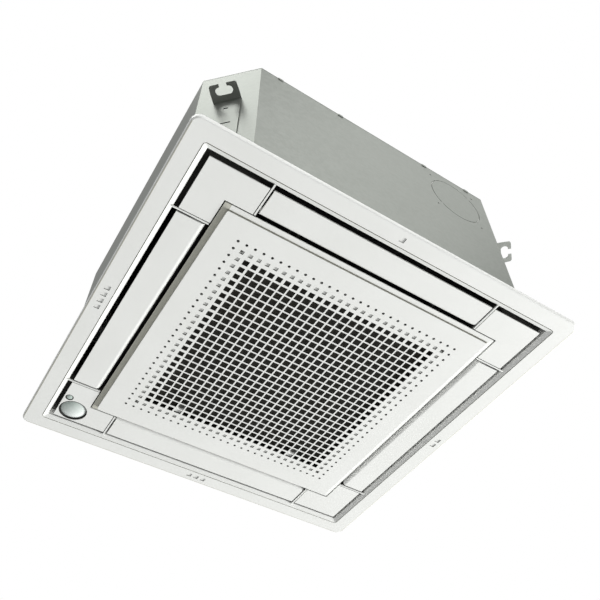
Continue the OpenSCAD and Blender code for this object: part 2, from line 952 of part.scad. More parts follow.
// The lattice of square openings: thick bars round the outer ring, thin ones inside
module grille_lattice() color(white_abs) {
    bar = pitch - big_hole;
    thick = pitch - mid_hole;
    ring = ring_n*pitch - mid_hole/2;
    lap = over/2;
    translate([0, 0, z_grille]) linear_extrude(lattice_h) difference() {
        union() {
            difference() {
                square(2*lattice_edge, center = true);
                square(2*lattice_half, center = true);
            }
            difference() {
                square(2*ring, center = true);
                square(2*big_half, center = true);
            }
            for (k = [1 - ring_n:ring_n]) translate([(k - 0.5)*pitch, 0]) {
                square([bar, 2*big_half + lap], center = true);
                for (s = [-1, 1]) translate([0, s*ring_n*pitch]) square([thick, mid_hole + lap], center = true);
            }
            for (k = [1 - ring_n:ring_n]) translate([0, (k - 0.5)*pitch]) {
                square([2*big_half + lap, bar], center = true);
                for (s = [-1, 1]) translate([s*ring_n*pitch, 0]) square([mid_hole + lap, thick], center = true);
            }
        }
        knob_slots();
    }
}

// A latch: a dished finger knob, its slide and the tongue that enters the panel's inner wall
module latch(x) {
    y0 = slot_y + knob_gap;
    step_y = tongue_tip - tongue_l;
    difference() {
        box(x - knob_w/2, x + knob_w/2, y0, y0 + knob_l, z_grille + seat, z_slide + slide_t/2);
        translate([x, y0 + knob_l/2 - dish_off, z_grille + seat + dish_d - dish_r]) sphere(r = dish_r);
    }
    box(x - slide_w/2, x + slide_w/2, y0, step_y, z_slide, z_slide + slide_t);
    box(x - tongue_w/2, x + tongue_w/2, step_y - slide_t, step_y, z_slide, z_tongue + tongue_t);
    box(x - tongue_w/2, x + tongue_w/2, step_y - slide_t, tongue_tip, z_tongue, z_tongue + tongue_t);
}

module latch_left() color(white_abs) latch(-latch_x);
module latch_right() color(white_abs) latch(latch_x);

// Filter

module filter_frame() color(grey_abs) {
    inner = filter_half - filter_rim;
    cell = 2*inner/filter_cells;
    z_bar = z_filter + filter_h - filter_bar;
    difference() {
        square_slab(filter_half, z_filter, z_filter + filter_h);
        square_slab(inner, z_filter - over, z_filter + filter_h + over);
    }
    for (k = [1:filter_cells - 1]) {
        at = k*cell - inner;
        box(at - filter_bar/2, at + filter_bar/2, -inner - over, inner + over, z_bar, z_bar + filter_bar);
        box(-inner - over, inner + over, at - filter_bar/2, at + filter_bar/2, z_bar, z_bar + filter_bar);
    }
}

module filter_mesh() color([0.25, 0.24, 0.22])
    square_slab(filter_half - filter_rim, z_filter + filter_h - filter_bar - mesh_t,
        z_filter + filter_h - filter_bar);

// Casing

// Corner tabs of the casing's lower flange that take the panel bolts
module bolt_tabs() {
    difference() {
        intersection() {
            oct_slab(sheet_t/2, z_casing, z_casing + sheet_t);
            at_bolts() translate([-bolt_tab, -bolt_tab, z_casing]) cube([2*bolt_tab, 2*bolt_tab, sheet_t]);
        }
        oct_slab(sheet_t + bolt_tab, z_casing - over, z_casing + 2*over);
    }
}

// Pipe and drain holes through the rear wall
module rear_holes(y0) {
    rod_y(gas_d/2 + pipe_gap, y0, casing_half + over, gas_x, gas_z);
    rod_y(liquid_d/2 + pipe_gap, y0, casing_half + over, liquid_x, liquid_z);
    rod_y(drain_d/2 + seat, y0, casing_half + over, drain_x, drain_z);
}

// Screw holes for a duct's flange round the knock-out
module pilot_holes(r, y0, y1) {
    for (a = [-1, 1], b = [-1, 1]) rod_y(r, y0, y1, knock_x + a*pilot_pitch/2, knock_z + b*pilot_pitch/2);
}

module casing() color(steel) {
    y_cut = -casing_half - over;
    y_end = -casing_half + sheet_t + over;
    difference() {
        union() {
            difference() {
                oct_slab(0, z_casing, z_roof - sheet_t);
                oct_slab(sheet_t, z_casing + sheet_t, z_roof);
                oct_slab(flange_in, z_casing - over, z_roof);
            }
            bolt_tabs();
        }
        at_bolts() translate([0, 0, z_casing - over]) cylinder(r = bolt_r + run_gap, h = sheet_t + 2*over);
        rod_y(knockout_d/2, y_cut, y_end, knock_x, knock_z);
        pilot_holes(pilot_r, y_cut, y_end);
        rear_holes(casing_half - sheet_t - over);
    }
}

// Ribs pressed up in the top: a ring round the motor and eight rays
module pressed_ribs() {
    translate([0, 0, z_roof - sheet_t/2]) {
        linear_extrude(press_h + sheet_t/2) difference() {
            circle(r = press_in);
            circle(r = press_in - press_w);
        }
        for (a = [0:45:315]) rotate(a) translate([press_in - press_w/2, -press_w/2, 0])
            cube([casing_half - press_back - press_in, press_w, press_h + sheet_t/2]);
    }
}

module top_plate() color(steel) {
    oct_slab(0, z_roof - sheet_t, z_roof);
    for (s = tab_at_shares)
        box(s*casing_w - tab_l/2, s*casing_w + tab_l/2, -casing_half - sheet_t, -casing_half, z_roof - tab_h, z_roof);
    pressed_ribs();
}

// The fresh-air knock-out: a disc held in its hole by four small webs
module knockout_disc() color(steel)
    translate([knock_x, -casing_half, knock_z]) {
        rod_y(knockout_d/2 - knock_gap, 0, sheet_t, 0, 0);
        for (a = [45:90:315]) rotate([0, a, 0])
            box(knockout_d/2 - 2*knock_gap, knockout_d/2 - 3*press_gap, 0, sheet_t, -knock_web/2, knock_web/2);
    }

module insulation() color(foam) {
    difference() {
        oct_slab(casing_half - liner_half, z_liner, z_liner_top);
        oct_slab(casing_half - liner_half + liner_t, z_casing, z_liner_top - liner_roof);
        translate([0, 0, z_casing]) cylinder(r = mount_hole_r, h = 2*casing_h);
        rear_holes(liner_half - liner_t - over);
        pilot_holes(pilot_r + 2*seat, -liner_half - over, -liner_half + liner_t + over);
    }
}

// Hangers

// A slot with round ends along Y, cut through a plate that stands on z = 0
module slot_cut(l, w, t) {
    for (s = [-1, 1]) translate([0, s*(l - w)/2, -over]) cylinder(r = w/2, h = t + 2*over);
    box(-w/2, w/2, -(l - w)/2, (l - w)/2, -over, t + over);
}

// A hanger on a wall that faces +X: a tab with an open rod slot, and a leg on the wall
module hanger() {
    mid = hang_n - plane_n - press_gap;
    half = hanger_w/2;
    translate([plane_n + press_gap, 0, hang_z]) {
        difference() {
            linear_extrude(hanger_t) polygon(concat([[0, -half], [tab_straight, -half]],
                arc(tab_reach - tab_corner, tab_corner - half, tab_corner, -60, 0, 5),
                arc(tab_reach - tab_corner, half - tab_corner, tab_corner, 0, 60, 5),
                [[tab_straight, half], [0, half]]));
            translate([mid, 0, 0]) slot_cut(rod_slot_l, rod_slot_w, hanger_t);
            box(mid, tab_reach + over, -mouth_w/2, mouth_w/2, -over, hanger_t + over);
        }
        difference() {
            box(0, hanger_t, -half, half, -hanger_h, hanger_t);
            translate([0, 0, -oval_down]) rotate([90, 0, 90]) rotate(90) slot_cut(oval_l, oval_w, hanger_t);
            box(-over, hanger_t + over, -key_l/2, key_l/2, -key_down, key_w - key_down);
        }
    }
}

module hanger_front_left() color(steel) rotate(225) hanger();
module hanger_front_right() color(steel) rotate(315) hanger();
module hanger_rear_right() color(steel) rotate(45) hanger();
module hanger_rear_left() color(steel) rotate(135) hanger();

// Coil

module coil_fins() color([0.75, 0.78, 0.80]) difference() {
    translate([0, 0, z_coil]) linear_extrude(coil_h) difference() {
        polygon(round_sq(coil_half, coil_r, 8));
        polygon(round_sq(coil_half - coil_t, coil_r - coil_t, 8));
    }
    box(-coil_half - over, -coil_open, coil_open, coil_half + over, z_coil - over, z_coil + coil_h + over);
}

// Steel sheets at the two ends of the coil
module tube_sheets() color(steel) {
    box(-coil_half, -coil_half + coil_t, coil_open, coil_open + end_sheet_t, z_coil, z_coil + coil_h);
    box(-coil_open - end_sheet_t, -coil_open, coil_half - coil_t, coil_half, z_coil, z_coil + coil_h);
}

module return_bend() {
    rotate([0, -90, 0]) rotate_extrude(angle = 180) translate([row_step/2, 0]) circle(d = tube_d, $fn = 32);
}

// Return bends that join the rows in pairs at both ends; the top row leads to the pipes
module coil_tubes() color(copper) {
    for (i = [1:2:tube_rows - 2]) translate([0, 0, z_coil + (i + 0.5)*row_step]) {
        translate([-row_u, coil_open + end_sheet_t, 0]) return_bend();
        translate([-coil_open - end_sheet_t, row_u, 0]) rotate(90) return_bend();
    }
}

// Foam drain pan with its trough, air slots, pump sump and pockets for the panel bolts
module drain_pan() color(foam) {
    difference() {
        oct_slab(casing_half - pan_half, z_pan, z_pan + pan_h);
        translate([0, 0, z_pan - over]) cylinder(r = pan_hole_r, h = pan_h + 2*over);
        four_sides() box(-slot_len/2, slot_len/2, -slot_out, -slot_in, z_pan - over, z_pan + pan_h + over);
        translate([0, 0, z_pan + pan_h - trough_d]) linear_extrude(trough_d + over) difference() {
            polygon(round_sq(trough_out, coil_r + trough_room, 8));
            polygon(round_sq(trough_in, coil_r - coil_t - trough_room, 8));
        }
        box(-sump_out, -sump_in, sump_in, sump_out, z_pan + sump_floor, z_pan + pan_h + over);
        at_bolts() translate([0, 0, z_pan - over]) cylinder(r = bolt_head_r, h = pocket_h + over);
    }
}

// Bell mouth: a flat flange and a flared throat
module bell_mouth() color(black) {
    difference() {
        square_slab(bell_half, z_bell, z_bell + bell_t);
        translate([0, 0, z_bell - over]) cylinder(r = flare_r, h = bell_t + 2*over);
    }
    rotate_extrude($fn = 96) {
        translate([flare_r, z_bell + bell_r]) difference() {
            intersection() {
                circle(r = bell_r);
                translate([-bell_r, -bell_r]) square(bell_r);
            }
            circle(r = bell_r - bell_t);
        }
        translate([throat_r, z_bell + bell_r]) square([bell_t, z_throat - z_bell - bell_r]);
    }
}

// Turbo fan

// Section of the shroud: the eye's lip and a quarter round that ends at the rim
module shroud_section() {
    translate([eye_r + shroud_r, z_fan + shroud_lip]) difference() {
        intersection() {
            circle(r = shroud_r);
            translate([-shroud_r, 0]) square([fan_r - eye_r, shroud_r]);
        }
        circle(r = shroud_r - shroud_t);
    }
    translate([eye_r, z_fan]) square([shroud_t, shroud_lip]);
}

// Section of the air's way between shroud and back plate
module passage_section() {
    z0 = z_fan + shroud_lip;
    difference() {
        translate([blade_in - over, z0]) square([fan_r - blade_in + over, z_back - z0 + shroud_t/2]);
        translate([eye_r + shroud_r, z0]) circle(r = shroud_r - shroud_t/2);
    }
}

// A backward-curved blade between its root circle and the fan's rim
module blade() {
    intersection() {
        difference() {
            circle(r = fan_r - blade_tip, $fn = 96);
            circle(r = blade_in, $fn = 96);
        }
        translate([blade_at, 0]) difference() {
            circle(r = blade_r, $fn = 96);
            circle(r = blade_r - blade_t, $fn = 96);
        }
        translate([blade_at - fan_r/2, 0]) square(fan_r);
    }
}

module turbo_fan() color([0.22, 0.23, 0.24]) {
    rotate_extrude($fn = 96) shroud_section();
    intersection() {
        rotate_extrude($fn = 96) passage_section();
        for (i = [0:blade_n - 1]) rotate(i*360/blade_n) translate([0, 0, z_fan])
            linear_extrude(fan_h + shroud_t) blade();
    }
    difference() {
        union() {
            translate([0, 0, z_back]) cylinder(r = fan_r, h = shroud_t, $fn = 96);
            translate([0, 0, z_cup]) cylinder(r = cup_r + shroud_t, h = cup_d + shroud_t/2);
        }
        translate([0, 0, z_cup + shroud_t]) cylinder(r = cup_r, h = 2*cup_d);
        translate([0, 0, z_cup - over]) cylinder(r = shaft_r + press_gap, h = cup_d);
    }
    difference() {
        translate([0, 0, z_cup - hub_boss_l/2]) cylinder(r = hub_boss_r, h = hub_boss_l/2 + shroud_t + over);
        translate([0, 0, z_cup - hub_boss_l]) cylinder(r = shaft_r + press_gap, h = 2*hub_boss_l);
    }
}

module motor_shaft() color(steel) {
    z0 = z_cup - hub_boss_l/2 - nut_h - shaft_out;
    translate([0, 0, z0]) cylinder(r = shaft_r, h = z_motor + shaft_in - z0);
}

module fan_nut() color(steel)
    translate([0, 0, z_cup - hub_boss_l/2 - nut_h]) difference() {
        cylinder(r = nut_r, h = nut_h, $fn = 6);
        translate([0, 0, -over]) cylinder(r = shaft_r + press_gap, h = nut_h + 2*over);
    }

// Fan motor: a finned body under a round mounting plate
module fan_motor() color(grey_abs) {
    difference() {
        union() {
            translate([0, 0, z_motor]) cylinder(r = motor_r, h = z_plate - plate_t/2 - z_motor);
            translate([0, 0, z_plate - plate_t]) cylinder(r = mount_at + mount_r, h = plate_t);
            for (a = [0:30:330]) rotate(a)
                box(motor_r - over, motor_r + fin_out, -fin_t/2, fin_t/2, z_motor + fin_up, z_plate - plate_t/2);
        }
        translate([0, 0, z_motor - over]) cylinder(r = shaft_r + run_gap, h = shaft_in + 2*over);
    }
}

module motor_mounts() color(black) {
    for (a = [45:90:315]) rotate(a) translate([mount_at, 0, z_plate]) cylinder(r = mount_r, h = mount_l);
}

// Drain pump and float switch

module at_pump() {
    translate([-pump_at, pump_at, 0]) children();
}

module pump_body() color(grey_abs) at_pump() {
    z_foot = z_pan + sump_floor + seat;
    difference() {
        union() {
            translate([0, 0, z_pump]) cylinder(r = pump_base_r, h = pump_base_t);
            translate([0, 0, z_pump + pump_base_t/2]) cylinder(r = pump_r, h = pump_body_h);
            translate([0, 0, z_pump - intake_l]) cylinder(r = intake_r, h = intake_l + pump_base_t/2);
            rod_y(spigot_r, 0, pump_r + spigot_l, 0, z_spigot);
            box(-float_x - float_r, 0, 0, float_arm, z_pump, z_pump + pump_base_t);
        }
        translate([0, 0, z_pump - intake_l - over]) cylinder(r = intake_r - intake_t, h = intake_l + over);
        rod_y(spigot_r - intake_t, pump_r - over, pump_r + spigot_l + over, 0, z_spigot);
        translate([0, 0, z_pump - over]) cylinder(r = axle_r + run_gap, h = axle_in + 2*over);
    }
    for (a = [30:120:270]) rotate(a) translate([pump_base_r - 1.3*leg_r, 0, z_foot])
        cylinder(r = leg_r, h = z_pump + pump_base_t/2 - z_foot);
}

module pump_impeller() color(white_abs) at_pump() {
    z0 = z_pump - intake_l + vane_low;
    translate([0, 0, z0]) cylinder(r = axle_r, h = z_pump + axle_in - z0);
    for (i = [0:vane_n - 1]) rotate(i*360/vane_n)
        box(0, vane_r, -vane_t/2, vane_t/2, z0, z_pump - vane_top);
}

module at_float() {
    translate([-pump_at - float_x, pump_at + float_y, z_pump - stem_l]) children();
}

module float_switch() color(grey_abs) at_float() {
    cylinder(r = stem_r, h = stem_l);
    translate([0, 0, -stop_t]) cylinder(r = stop_r, h = stop_t);
}

module float_ring() color([0.9, 0.5, 0.2]) at_float() translate([0, 0, seat]) difference() {
    cylinder(r = float_r, h = float_h);
    translate([0, 0, -over]) cylinder(r = stem_r + float_play, h = float_h + 2*over);
}

// The path of the drain hose, from the pump's spigot up to the drain socket
module hose_path(r, ends) {
    low_y = hose_y - hose_bend;
    high_y = hose_y + hose_bend;
    rod_y(r, pump_at + pump_r + spigot_l - hose_lap - ends, low_y, 0, z_spigot);
    translate([0, low_y, z_spigot + hose_bend]) rotate([0, 90, 0]) rotate_extrude(angle = 90)
        translate([hose_bend, 0]) circle(r = r);
    translate([0, hose_y, z_spigot + hose_bend]) cylinder(r = r, h = drain_z - z_spigot - 2*hose_bend);
    translate([0, high_y, drain_z - hose_bend]) rotate([0, 90, 0]) rotate(180) rotate_extrude(angle = 90)
        translate([hose_bend, 0]) circle(r = r);
    rod_y(r, high_y, high_y + hose_lap/2 + ends, 0, drain_z);
}

module drain_hose() color(black) translate([drain_x, 0, 0]) difference() {
    hose_path(hose_r, 0);
    hose_path(spigot_r + press_gap, over);
}

module drain_socket() color(white_abs) translate([drain_x, 0, 0]) {
    y0 = hose_y + hose_bend + hose_lap/2 + seat;
    difference() {
        union() {
            rod_y(drain_d/2, y0, casing_half + drain_out, 0, drain_z);
            rod_y(collar_r, casing_half, casing_half + collar_t, 0, drain_z);
            rod_y(spigot_r, y0 - nipple_l, y0 + over, 0, drain_z);
        }
        rod_y(spigot_r - hose_t, y0 - nipple_l - over, y0 + 2*hose_t, 0, drain_z);
        rod_y(drain_bore_d/2, y0 + hose_t, casing_half + drain_out + over, 0, drain_z);
    }
}

// Refrigerant pipes

module elbow(d, x, y, z) {
    translate([x, y, z]) sphere(d = joint_f*d, $fn = 32);
}

// The header of the coil's left end, fed by its top row, and the gas pipe out through the rear wall
module gas_pipe() color(copper) {
    z_row = z_coil + tube_rows*row_step;
    translate([-row_u, header_y, z_coil + header_end]) cylinder(r = header_r, h = coil_h - 2*header_end + tube_d);
    rod_y(tube_d/2, coil_open + end_sheet_t, header_y, -row_u, z_row);
    rod_x(gas_d/2, -row_u, gas_x, header_y, gas_z);
    elbow(gas_d, gas_x, header_y, gas_z);
    rod_y(gas_d/2, header_y, casing_half + union_at + hex_l, gas_x, gas_z);
}

// The liquid pipe, from the top row of the coil's rear end down and out through the rear wall
module liquid_pipe() color(copper) {
    z_row = z_coil + tube_rows*row_step;
    rod_x(liquid_d/2, liquid_x, -coil_open - end_sheet_t, row_u, z_row);
    elbow(liquid_d, liquid_x, row_u, z_row);
    translate([liquid_x, row_u, liquid_z]) cylinder(r = liquid_d/2, h = z_row - liquid_z);
    elbow(liquid_d, liquid_x, row_u, liquid_z);
    rod_y(liquid_d/2, row_u, casing_half + union_at + hex_l, liquid_x, liquid_z);
}

// A flare union on the pipe's end: a hexagon, a threaded nose and its sealing cone
module flare_union(d, hex_w, thread_d) {
    difference() {
        union() {
            cylinder(r = hex_w/sqrt(3), h = hex_l, $fn = 6);
            cylinder(d = thread_d, h = hex_l + thread_l);
            translate([0, 0, hex_l + thread_l]) cylinder(d1 = thread_d, d2 = thread_d - 2*cone_l, h = cone_l);
        }
        translate([0, 0, -over]) cylinder(r = d/2 + press_gap, h = hex_l + over);
        cylinder(r = d/2 - pipe_wall, h = hex_l + thread_l + cone_l + over);
    }
}

module gas_union() color(brass)
    translate([gas_x, casing_half + union_at, gas_z]) rotate([-90, 0, 0]) flare_union(gas_d, gas_hex_w, gas_thread_d);

module liquid_union() color(brass) translate([liquid_x, casing_half + union_at, liquid_z]) rotate([-90, 0, 0])
    flare_union(liquid_d, liquid_hex_w, liquid_thread_d);

module pipe_plate() color(steel) difference() {
    box(pipe_plate_x[0], pipe_plate_x[1], casing_half, casing_half + pipe_plate_t, pipe_plate_z[0], pipe_plate_z[1]);
    rod_y(gas_d/2 + seat, casing_half - over, casing_half + pipe_plate_t + over, gas_x, gas_z);
    rod_y(liquid_d/2 + seat, casing_half - over, casing_half + pipe_plate_t + over, liquid_x, liquid_z);
}

// Control box

module control_box() color(steel) difference() {
    half = box_l/2;
    box(-half, half, box_y, box_y + box_d, z_box, z_box + box_h);
    box(box_t - half, half - box_t, box_y + box_t, box_y + box_d - box_t, z_box - over, z_box + box_h - box_t);
    rod_x(cable_hole_r, -half - over, half + over, box_y + box_d/2, z_box + box_h/2);
}

module control_lid() color(steel) {
    half = box_l/2;
    box(-half, half, box_y, box_y + box_d, z_box - seat - box_t, z_box - seat);
    for (m = [0, 1]) mirror([m, 0, 0])
        box(half - 2*box_t - seat, half - box_t - seat, box_y + 2*box_t, box_y + box_d - 2*box_t,
            z_box - seat - box_t/2, z_box + lid_lip);
}

module circuit_board() color([0.15, 0.40, 0.25]) {
    x0 = board_in - box_l/2;
    x1 = x0 + board_l;
    y0 = box_y + board_side;
    y1 = box_y + box_d - board_side;
    z1 = z_box + box_h - box_t - standoff_h;
    box(x0, x1, y0, y1, z1 - board_t, z1);
    for (x = [x0 + standoff_in, x1 - standoff_in], y = [y0 + standoff_in, y1 - standoff_in])
        translate([x, y, z1 - board_t/2]) cylinder(r = standoff_r, h = standoff_h + board_t/2);
    for (i = [0:4]) translate([x0 + board_in + i*part_pitch, 0, 0])
        box(0, part_w, y0 + part_in, y1 - part_in, z1 - board_t - part_h, z1 - board_t/2);
}

module terminal_block() color(black) {
    x1 = box_l/2 - block_in;
    y0 = box_y + block_side;
    y1 = box_y + box_d - block_side;
    z1 = z_box + box_h - box_t;
    difference() {
        box(x1 - block_l, x1, y0, y1, z1 - block_h, z1);
        for (i = [0:pole_n - 1]) translate([x1 - block_l/2 + (i - (pole_n - 1)/2)*pole_pitch, 0, z1 - block_h]) {
            translate([0, (y0 + y1)/2, -over]) cylinder(r = pole_r, h = pole_d + over);
            box(-entry_w/2, entry_w/2, y0 - over, y0 + entry_d, -over, pole_d);
            box(-entry_w/2, entry_w/2, y1 - entry_d, y1 + over, -over, pole_d);
        }
    }
}

casing();
top_plate();
knockout_disc();
insulation();
hanger_front_left();
hanger_front_right();
hanger_rear_right();
hanger_rear_left();
coil_fins();
coil_tubes();
tube_sheets();
drain_pan();
bell_mouth();
fan_motor();
motor_mounts();
motor_shaft();
turbo_fan();
fan_nut();
pump_body();
pump_impeller();
float_switch();
float_ring();
drain_hose();
drain_socket();
liquid_pipe();
gas_pipe();
liquid_union();
gas_union();
pipe_plate();
control_box();
control_lid();
circuit_board();
terminal_block();
panel_frame();
rim_seal();
duct_seal();
corner_cover_front_left();
corner_cover_front_right();
corner_cover_rear_right();
corner_cover_rear_left();
sensor_dome();
sensor_bezel();
signal_receiver();
flap_front();
flap_right();
flap_rear();
flap_left();
flap_motors();
suction_grille();
grille_lattice();
filter_frame();
filter_mesh();
latch_left();
latch_right();
latch_keepers();
hinge_pins();
panel_screws();
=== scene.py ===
import math

import bmesh
import bpy
from mathutils import Matrix, Vector
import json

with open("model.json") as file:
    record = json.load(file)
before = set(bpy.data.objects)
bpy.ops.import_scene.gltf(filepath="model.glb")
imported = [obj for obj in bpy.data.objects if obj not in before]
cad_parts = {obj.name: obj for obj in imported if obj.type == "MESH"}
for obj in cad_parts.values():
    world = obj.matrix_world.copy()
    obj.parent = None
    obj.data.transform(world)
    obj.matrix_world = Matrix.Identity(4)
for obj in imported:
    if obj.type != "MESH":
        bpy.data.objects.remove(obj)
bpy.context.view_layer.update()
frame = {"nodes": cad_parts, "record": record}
NODES = frame["nodes"]

# ---------------------------------------------------------------- camera

# Columns: the camera's right, up and backward directions in the object's frame
CAMERA_AXES = ((0.846661, -0.409740, -0.339527),
               (-0.532116, -0.656971, -0.534081),
               (-0.004225, 0.632853, -0.774260))
CAMERA_PLACE = (-0.39611, -0.66787, -0.77334)
CAMERA_LENS = 42.61
SENSOR = 36.0
CLIP = (0.01, 100.0)


def make_camera():
    data = bpy.data.cameras.new("camera")
    data.sensor_width = SENSOR
    data.sensor_fit = "HORIZONTAL"
    data.lens = CAMERA_LENS
    data.clip_start, data.clip_end = CLIP
    camera = bpy.data.objects.new("camera", data)
    bpy.context.scene.collection.objects.link(camera)
    camera.matrix_world = Matrix.Translation(CAMERA_PLACE) @ Matrix(CAMERA_AXES).to_4x4()
    bpy.context.scene.camera = camera


make_camera()

# ---------------------------------------------------------------- node helpers

# The part of its range that a noise's values mostly fill
NOISE_SPAN = (0.3, 0.7)


class Shader:
    """A material and short calls for its nodes. Textures use object coordinates, in metres."""

    def __init__(self, name):
        self.material = bpy.data.materials.new(name)
        self.material.use_nodes = True
        self.tree = self.material.node_tree
        self.tree.nodes.clear()
        self.output = self.tree.nodes.new("ShaderNodeOutputMaterial")
        self.bsdf = self.tree.nodes.new("ShaderNodeBsdfPrincipled")
        self.link(self.bsdf.outputs["BSDF"], self.output.inputs["Surface"])
        self.place = self.tree.nodes.new("ShaderNodeTexCoord").outputs["Object"]

    def link(self, source, target):
        self.tree.links.new(source, target)

    def feed(self, socket, value):
        if isinstance(value, bpy.types.NodeSocket):
            self.link(value, socket)
        elif isinstance(value, (tuple, list)) and len(value) == 3 and socket.type == "RGBA":
            socket.default_value = (*value, 1.0)
        else:
            socket.default_value = value

    def make(self, kind, **sockets):
        node = self.tree.nodes.new(kind)
        for name, value in sockets.items():
            self.feed(node.inputs[name.replace("_", " ")], value)
        return node

    def set(self, **sockets):
        for name, value in sockets.items():
            self.feed(self.bsdf.inputs[name.replace("_", " ")], value)
        return self

    def stretched(self, scale):
        node = self.make("ShaderNodeMapping", Vector=self.place)
        node.inputs["Scale"].default_value = scale
        return node.outputs["Vector"]

    def noise(self, scale, detail=2.0, rough=0.5, vector=None):
        node = self.make("ShaderNodeTexNoise", Vector=vector or self.place,
                         Scale=scale, Detail=detail, Roughness=rough)
        return node.outputs["Fac"]

    def cells(self, scale, feature="F1", output="Distance", vector=None, random_share=1.0):
        node = self.tree.nodes.new("ShaderNodeTexVoronoi")
        node.feature = feature
        self.feed(node.inputs["Vector"], vector or self.place)
        self.feed(node.inputs["Scale"], scale)
        self.feed(node.inputs["Randomness"], random_share)
        return node.outputs[output]

    def math(self, operation, *values, clamp=False):
        node = self.tree.nodes.new("ShaderNodeMath")
        node.operation = operation
        node.use_clamp = clamp
        for socket, value in zip(node.inputs, values):
            self.feed(socket, value)
        return node.outputs[0]

    def span(self, value, low, high, to_low=0.0, to_high=1.0):
        node = self.make("ShaderNodeMapRange", Value=value)
        for name, number in zip(("From Min", "From Max", "To Min", "To Max"), (low, high, to_low, to_high)):
            self.feed(node.inputs[name], number)
        return node.outputs["Result"]

    def soft(self, value, to_low=0.0, to_high=1.0):
        return self.span(value, *NOISE_SPAN, to_low, to_high)

    def above(self, value, limit):
        return self.math("GREATER_THAN", value, limit)

    def below(self, value, limit):
        return self.math("LESS_THAN", value, limit)

    def product(self, first, *others):
        for value in others:
            first = self.math("MULTIPLY", first, value)
        return first

    def total(self, first, *others):
        for value in others:
            first = self.math("ADD", first, value)
        return first

    def length(self, first, second):
        return self.math("SQRT", self.total(self.product(first, first), self.product(second, second)))

    def mix(self, share, first, second):
        node = self.tree.nodes.new("ShaderNodeMix")
        node.data_type = "RGBA"
        self.feed(node.inputs[0], share)
        self.feed(node.inputs[6], first)
        self.feed(node.inputs[7], second)
        return node.outputs[2]

    def bump(self, height, strength, distance):
        node = self.make("ShaderNodeBump", Height=height, Strength=strength, Distance=distance)
        return node.outputs["Normal"]

    def axes(self):
        return self.make("ShaderNodeSeparateXYZ", Vector=self.place).outputs


def grey(value):
    return (value, value, value)


def olive(value):
    return tuple(value*share for share in OLIVE)


# ---------------------------------------------------------------- materials

OLIVE = (1.0, 0.99, 0.86)
WHITE = (0.800, 0.806, 0.778)
WHITE_SHADE = (0.768, 0.774, 0.744)
ZINC = (0.268, 0.280, 0.260)
ZINC_SHADE = (0.224, 0.235, 0.217)
# Spread of the painted shade's tone about each zone's tone, and the painted shade's roughness
PAINTED_SHADE_SPAN = (0.7, 1.3)
PAINTED_SHADE_ROUGH = 0.9
FIN_PITCH = 0.0015
THREAD_PITCH = 0.0016


class Zone:
    """A square ring about the object's axis, between two heights and two half widths, cut off at the sides."""

    def __init__(self, tone, low, high=1.0, near=-1.0, far=1.0, left=1.0, rear=-1.0, front=1.0, blur=0.00002):
        self.tone, self.low, self.high, self.near, self.far = tone, low, high, near, far
        self.left, self.rear, self.front, self.blur = left, rear, front, blur

    def share(self, s):
        x, y, z = s.axes()
        out = s.math("MAXIMUM", s.math("ABSOLUTE", x), s.math("ABSOLUTE", y))
        return s.product(s.span(z, self.low, self.low + self.blur), s.below(z, self.high),
                         s.above(out, self.near), s.below(out, self.far),
                         s.below(x, self.left), s.above(y, self.rear), s.below(y, self.front))


class Patch:
    """A patch across the middle of each chamfered corner, between two heights."""

    def __init__(self, tone, low, high, half):
        self.tone, self.low, self.high, self.half = tone, low, high, half

    def share(self, s):
        x, y, z = s.axes()
        skew = s.math("SUBTRACT", s.math("ABSOLUTE", x), s.math("ABSOLUTE", y))
        along = s.product(s.math("ABSOLUTE", skew), math.sqrt(0.5))
        return s.product(s.above(z, self.low), s.below(z, self.high), s.below(along, self.half))


class Well:
    """A round recess about an upright axis, above a height."""

    def __init__(self, tone, place, radius, low):
        self.tone, self.place, self.radius, self.low = tone, place, radius, low

    def share(self, s):
        x, y, z = s.axes()
        reach = s.length(s.math("SUBTRACT", x, self.place[0]), s.math("SUBTRACT", y, self.place[1]))
        return s.product(s.below(reach, self.radius), s.above(z, self.low))


# Painted shade where little light gets in: gaps, grooves, rim and step lines, slots, wells and the grille's
# openings. Heights, half widths and radii are in metres, in the object's frame.
DUCT_ZONE = Zone(0.02, low=-0.0041, near=0.2, far=0.2764)
GROOVE_ZONE = Zone(0.36, low=-0.0069, near=0.2830, far=0.2848)
MARK_ZONE = Zone(0.05, low=-0.0068, high=-0.0059, near=0.2905, far=0.3005)
RIM_ZONE = Zone(0.55, low=-0.0072, high=-0.0066, near=0.3074, far=0.3110, rear=-0.3)
SKIRT_ZONE = Zone(0.03, low=-0.0044, near=0.2664, far=0.2764)
# Painted shade on the grille's riser on the left side only, and along its step on the front side only
RISER_ZONE = Zone(0.50, low=-0.0090, high=-0.0041, near=0.2150, far=0.2240, left=-0.214)
STEP_ZONE = Zone(0.30, low=-0.0092, high=-0.0060, near=0.2153, far=0.2166, front=-0.214)
HOLE_ZONE = Zone(0.07, low=-0.0093, high=-0.00755, far=0.2, blur=0.0010)
DISH_ZONE = Zone(0.04, low=-0.0090, high=-0.0068, far=0.25, blur=0.0014)
LATTICE_ZONE = Zone(0.03, low=-0.0093, high=-0.00655, far=0.2, blur=0.0003)
SEAM_ZONE = Zone(0.05, low=0.2970, high=0.2990)
# Painted shadow on the casing behind the hangers' slots, and inside the slots themselves
BEHIND_SLOTS = (Patch(0.015, low=0.1680, high=0.1760, half=0.0050),
                Patch(0.015, low=0.1210, high=0.1285, half=0.0115))
IN_SLOTS = (Patch(0.015, low=0.16935, high=0.17265, half=0.00355),
            Patch(0.015, low=0.12195, high=0.12505, half=0.01005))
DOME_PLACE = (-0.246, 0.246)
# Painted shading across the sensor dome: where its darker-to-paler slant runs, and how much noise clouds it
DOME_SHADING_SPAN = (-0.022, 0.024)
DOME_SHADING_CLOUD = 0.006
RECEIVER_PLACE = (-0.2614, 0.2197)
